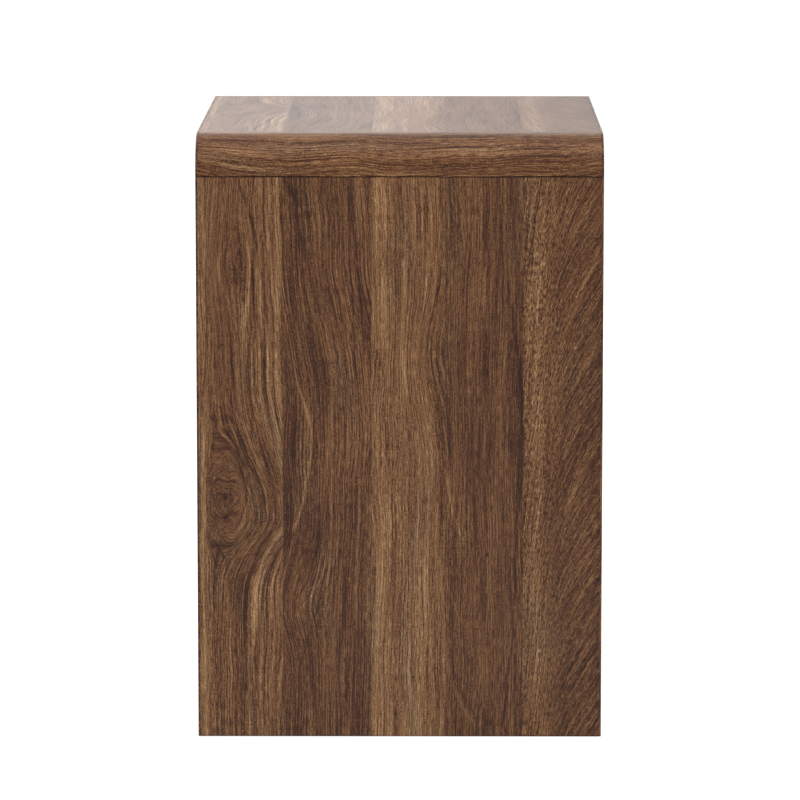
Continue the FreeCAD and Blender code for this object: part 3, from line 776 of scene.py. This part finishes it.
def screw_tree():
    """A cross-headed screw on every point, with its head towards the point's facing."""
    tree = bpy.data.node_groups.new("screws", "GeometryNodeTree")
    sizes = ("Head Radius", "Head Height", "Recess Depth", "Shank Radius", "Shank Length")
    entry = in_and_out(tree, sizes)
    head_radius, head_height, recess_depth = (Pattern(entry.outputs[name]) for name in sizes[:3])
    shank_radius, shank_length = (Pattern(entry.outputs[name]) for name in sizes[3:])

    def vector(*parts):
        """One vector from its three parts."""
        node = tree.nodes.new("ShaderNodeCombineXYZ")
        for part, socket in zip(parts, node.inputs):
            feed(part, socket)
        return node.outputs[0]

    def lifted(mesh, height):
        """A mesh moved up by a height."""
        node = tree.nodes.new("GeometryNodeTransform")
        feed(mesh, node.inputs["Geometry"])
        feed(vector(0, 0, height), node.inputs["Translation"])
        return node.outputs["Geometry"]

    # A coned head on a shank, with a cross cut into it
    head = tree.nodes.new("GeometryNodeMeshCone")
    head.inputs["Vertices"].default_value = 28
    feed(head_radius * 0.74, head.inputs["Radius Top"])
    feed(head_radius, head.inputs["Radius Bottom"])
    feed(head_height, head.inputs["Depth"])
    shank = tree.nodes.new("GeometryNodeMeshCylinder")
    shank.inputs["Vertices"].default_value = 20
    feed(shank_radius, shank.inputs["Radius"])
    feed(shank_length, shank.inputs["Depth"])
    whole = tree.nodes.new("GeometryNodeMeshBoolean")
    whole.operation = "UNION"
    feed(head.outputs["Mesh"], whole.inputs["Mesh 2"])
    feed(lifted(shank.outputs["Mesh"], shank_length * -0.5 + head_height * 0.3), whole.inputs["Mesh 2"])
    driven = tree.nodes.new("GeometryNodeMeshBoolean")
    driven.operation = "DIFFERENCE"
    feed(whole.outputs["Mesh"], driven.inputs["Mesh 1"])
    blade_sides = (head_radius * 0.95, head_radius * 0.24)
    for width, depth in (blade_sides, blade_sides[::-1]):
        blade = tree.nodes.new("GeometryNodeMeshCube")
        feed(vector(width, depth, recess_depth * 2), blade.inputs["Size"])
        feed(lifted(blade.outputs["Mesh"], head_height), driven.inputs["Mesh 2"])

    # Each screw looks along its point's facing and stops at its own turn
    facing = tree.nodes.new("GeometryNodeInputNamedAttribute")
    facing.data_type = "FLOAT_VECTOR"
    facing.inputs["Name"].default_value = "facing"
    aim = tree.nodes.new("FunctionNodeAlignRotationToVector")
    aim.axis = "Z"
    feed(facing.outputs["Attribute"], aim.inputs["Vector"])
    chance = tree.nodes.new("FunctionNodeRandomValue")
    chance.inputs["Min"].default_value = 0.0
    chance.inputs["Max"].default_value = math.tau
    chance.inputs["Seed"].default_value = 11
    spin = tree.nodes.new("FunctionNodeAxisAngleToRotation")
    spin.inputs["Axis"].default_value = (0, 0, 1)
    feed(chance.outputs["Value"], spin.inputs["Angle"])
    turned = tree.nodes.new("FunctionNodeRotateRotation")
    turned.rotation_space = "LOCAL"
    feed(aim.outputs["Rotation"], turned.inputs["Rotation"])
    feed(spin.outputs["Rotation"], turned.inputs["Rotate By"])
    placed = tree.nodes.new("GeometryNodeInstanceOnPoints")
    feed(entry.outputs["Geometry"], placed.inputs["Points"])
    feed(driven.outputs["Mesh"], placed.inputs["Instance"])
    feed(turned.outputs["Rotation"], placed.inputs["Rotation"])
    finish_tree(tree, entry, placed)
    return tree


def screw_sizes(head_radius, head_height, recess_depth, shank_radius, shank_length):
    """One kind of screw, given in millimetres."""
    return {"Head Radius": head_radius * mm, "Head Height": head_height * mm,
            "Recess Depth": recess_depth * mm, "Shank Radius": shank_radius * mm,
            "Shank Length": shank_length * mm, "Material": zinc}


screws = screw_tree()
flat_screw = screw_sizes(3.7, 0.3, 1.1, 2.0, 14)
round_screw = screw_sizes(3.9, 2.1, 1.5, 2.0, 11)
sunk_screw = screw_sizes(4.0, 0.2, 1.4, 2.0, 24)

# Where a runner's holes are, and how far the faces of its two screwed webs lie from its back
runner_screw_rows = (-145.0, -19.0, 135.0)
outer_web_face = 1.2
inner_web_face = 11.6
front_screw_x = 120
front_screw_rise = 45
front_screw_drop = 40

wall_screws = []
wall_facings = []
for level in ("upper", "lower"):
    box_screws = []
    box_facings = []
    for side in (-1, 1):
        for row in runner_screw_rows:
            wall_screws.append((side * (runner_back - outer_web_face), row, runner_middle(level)))
            wall_facings.append((-side, 0, 0))
            box_screws.append((side * (runner_back - inner_web_face), row, runner_middle(level)))
            box_facings.append((side, 0, 0))
    low, high = (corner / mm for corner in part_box(f"drawer_box_front_{level}"))
    for x in (-front_screw_x, front_screw_x):
        for z in (low.z + front_screw_rise, high.z - front_screw_drop):
            box_screws.append((x, high.y, z))
            box_facings.append((0, 1, 0))
    set_out(f"drawer_screws_{level}", screws, box_screws, box_facings, round_screw,
            f"drawer_{level}")
set_out("runner_screws", screws, wall_screws, wall_facings, flat_screw, "carcass")

rail_screws_x = (-150, 0, 150)
back_screws_x = (-210, -105, 0, 105, 210)
board_screws = []
board_facings = []
for rail in ("upper_rail_front", "upper_rail_rear"):
    low, high = (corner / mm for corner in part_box(rail))
    for x in rail_screws_x:
        board_screws.append((x, (low.y + high.y) / 2, low.z))
        board_facings.append((0, 0, -1))
for board in ("bottom_panel", "upper_rail_rear"):
    low, high = (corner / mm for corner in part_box(board))
    for x in back_screws_x:
        board_screws.append((x, far_corner("back_panel").y, (low.z + high.z) / 2))
        board_facings.append((0, 1, 0))
set_out("board_screws", screws, board_screws, board_facings, sunk_screw, "carcass")

# Dowels and glides: four beech dowels hidden in the joints between the sides and the slab,
# and four low black plastic glides nailed under the sides.

beech_colors = ((0.0, (0.46, 0.29, 0.165)), (1.0, (0.66, 0.47, 0.30)))
beech = pale_wood("beech", lambda p: p["Y"], lambda p: p["Z"], lambda p: p["X"], beech_colors,
                  roughness=0.6)
dressed("slab_dowels", beech, 0)


def moulded(name, color, roughness):
    """Moulded plastic with a fine matt texture."""
    material, tree, shader, place = surface(name)
    grit = cloud(place["X"] + place["Z"], place["Y"], 0.35, 0.35, 0, 2)
    feed(grit * 0.15 + roughness, shader.inputs["Roughness"])
    feed(shaded(tree, grit + 0.5, color, 0.7), shader.inputs["Base Color"])
    raised(tree, shader, grit, 0.03 * mm)
    return material


glide_arris = 0.3 * mm
glide_plastic = moulded("glide plastic", (0.025, 0.022, 0.020), 0.5)
dressed("glides", glide_plastic, glide_arris)

# Floor and light: a pale floor that ends in white, a large soft box overhead and one to each side.
# A weak wide one far to the left gives the even glow on the top, where the others aren't mirrored.


def any_kind(rays, *kinds):
    """1 for a ray of any of these kinds, else 0."""
    found, *others = (Pattern(rays.outputs[f"Is {kind} Ray"]) for kind in kinds)
    for other in others:
        found = found.combined("MAXIMUM", other)
    return found


def chosen(tree, choice, otherwise, picked):
    """One shader where the choice is 0, and the other where it is 1."""
    mix = tree.nodes.new("ShaderNodeMixShader")
    feed(choice, mix.inputs["Fac"])
    feed(otherwise, mix.inputs[1])
    feed(picked, mix.inputs[2])
    return mix.outputs[0]


floor_glow = 0.93


def floor_material():
    """Pale to the light on the object, and near white to the eye, with the shadow kept."""
    material = bpy.data.materials.new("pale floor")
    material.use_nodes = True
    tree = material.node_tree
    shader = tree.nodes["Principled BSDF"]
    shader.inputs["Base Color"].default_value = (0.8, 0.8, 0.8, 1)
    shader.inputs["Roughness"].default_value = 0.9
    shader.inputs["Specular IOR Level"].default_value = 0
    shade = tree.nodes.new("ShaderNodeBsdfDiffuse")
    shade.inputs["Color"].default_value = (0.25, 0.25, 0.25, 1)
    glow = tree.nodes.new("ShaderNodeEmission")
    glow.inputs["Strength"].default_value = floor_glow
    seen = tree.nodes.new("ShaderNodeAddShader")
    feed(shade.outputs[0], seen.inputs[0])
    feed(glow.outputs[0], seen.inputs[1])
    eye = any_kind(tree.nodes.new("ShaderNodeLightPath"), "Camera", "Glossy", "Transmission")
    leave = tree.nodes["Material Output"]
    feed(chosen(tree, eye, shader.outputs[0], seen.outputs[0]), leave.inputs["Surface"])
    return material


floor_reach = 12
floor_mesh = bpy.data.meshes.new("floor")
corners = [(x * floor_reach, y * floor_reach, 0) for x, y in ((-1, -1), (1, -1), (1, 1), (-1, 1))]
floor_mesh.from_pydata(corners, [], [(0, 1, 2, 3)])
floor_mesh.materials.append(floor_material())
floor = bpy.data.objects.new("floor", floor_mesh)
scene.collection.objects.link(floor)


lamps_target = Vector((0, 0, 0.35))


def soft_box(name, place, size, power, in_gloss=False):
    """A square soft box that faces the cabinet."""
    light = bpy.data.lights.new(name, "AREA")
    light.shape = "SQUARE"
    light.size = size
    light.energy = power
    lamp = bpy.data.objects.new(name, light)
    lamp.location = place
    lamp.rotation_euler = (lamps_target - Vector(place)).to_track_quat("-Z", "Y").to_euler()
    lamp.visible_camera = False
    lamp.visible_glossy = in_gloss
    scene.collection.objects.link(lamp)


soft_box("soft box overhead", (0.6, 0, 3.2), 2.4, 100)
soft_box("soft box front right", (2.6, -2.8, 1.6), 1.8, 18)
soft_box("soft box back right", (2.6, 2.8, 1.6), 1.8, 18)
soft_box("soft box front left", (-2.6, -2.8, 1.6), 1.8, 34)
soft_box("soft box far left", (-4.55, -1.45, 1.5), 1.6, 60)
soft_box("soft box dim left", (-5.0, -1.43, 1.3), 3.0, 7.5, True)
soft_box("soft box back left", (-2.6, 2.8, 1.6), 1.8, 34)

world = bpy.data.worlds.new("studio")
scene.world = world
world.use_nodes = True
world_tree = world.node_tree
world_tree.nodes.clear()
room_strength = 0.41
mirrored_strength = 0.90
backdrop_strength = 1.0


def white_wall(strength):
    """An even white all round the cabinet."""
    wall = world_tree.nodes.new("ShaderNodeBackground")
    wall.inputs["Color"].default_value = (1, 1, 1, 1)
    wall.inputs["Strength"].default_value = strength
    return wall.outputs[0]


world_rays = world_tree.nodes.new("ShaderNodeLightPath")
mirrored = any_kind(world_rays, "Glossy", "Transmission")
room = chosen(world_tree, mirrored, white_wall(room_strength), white_wall(mirrored_strength))
all_round = chosen(world_tree, world_rays.outputs["Is Camera Ray"], room, white_wall(backdrop_strength))
feed(all_round, world_tree.nodes.new("ShaderNodeOutputWorld").inputs["Surface"])

# Camera: the photograph's view of the right side, level with the slab's end and 8.6 degrees above it,
# through a long lens.

camera_place = Vector((5.0243, 0.0264, 1.0442))
camera_target = Vector((0, -0.0010, 0.3026))
lens = bpy.data.cameras.new("camera")
lens.sensor_width = 36
lens.lens = 220.64
lens.clip_end = 100
camera = bpy.data.objects.new("camera", lens)
camera.location = camera_place
camera.rotation_euler = (camera_target - camera_place).to_track_quat("-Z", "Y").to_euler()
scene.collection.objects.link(camera)
scene.camera = camera
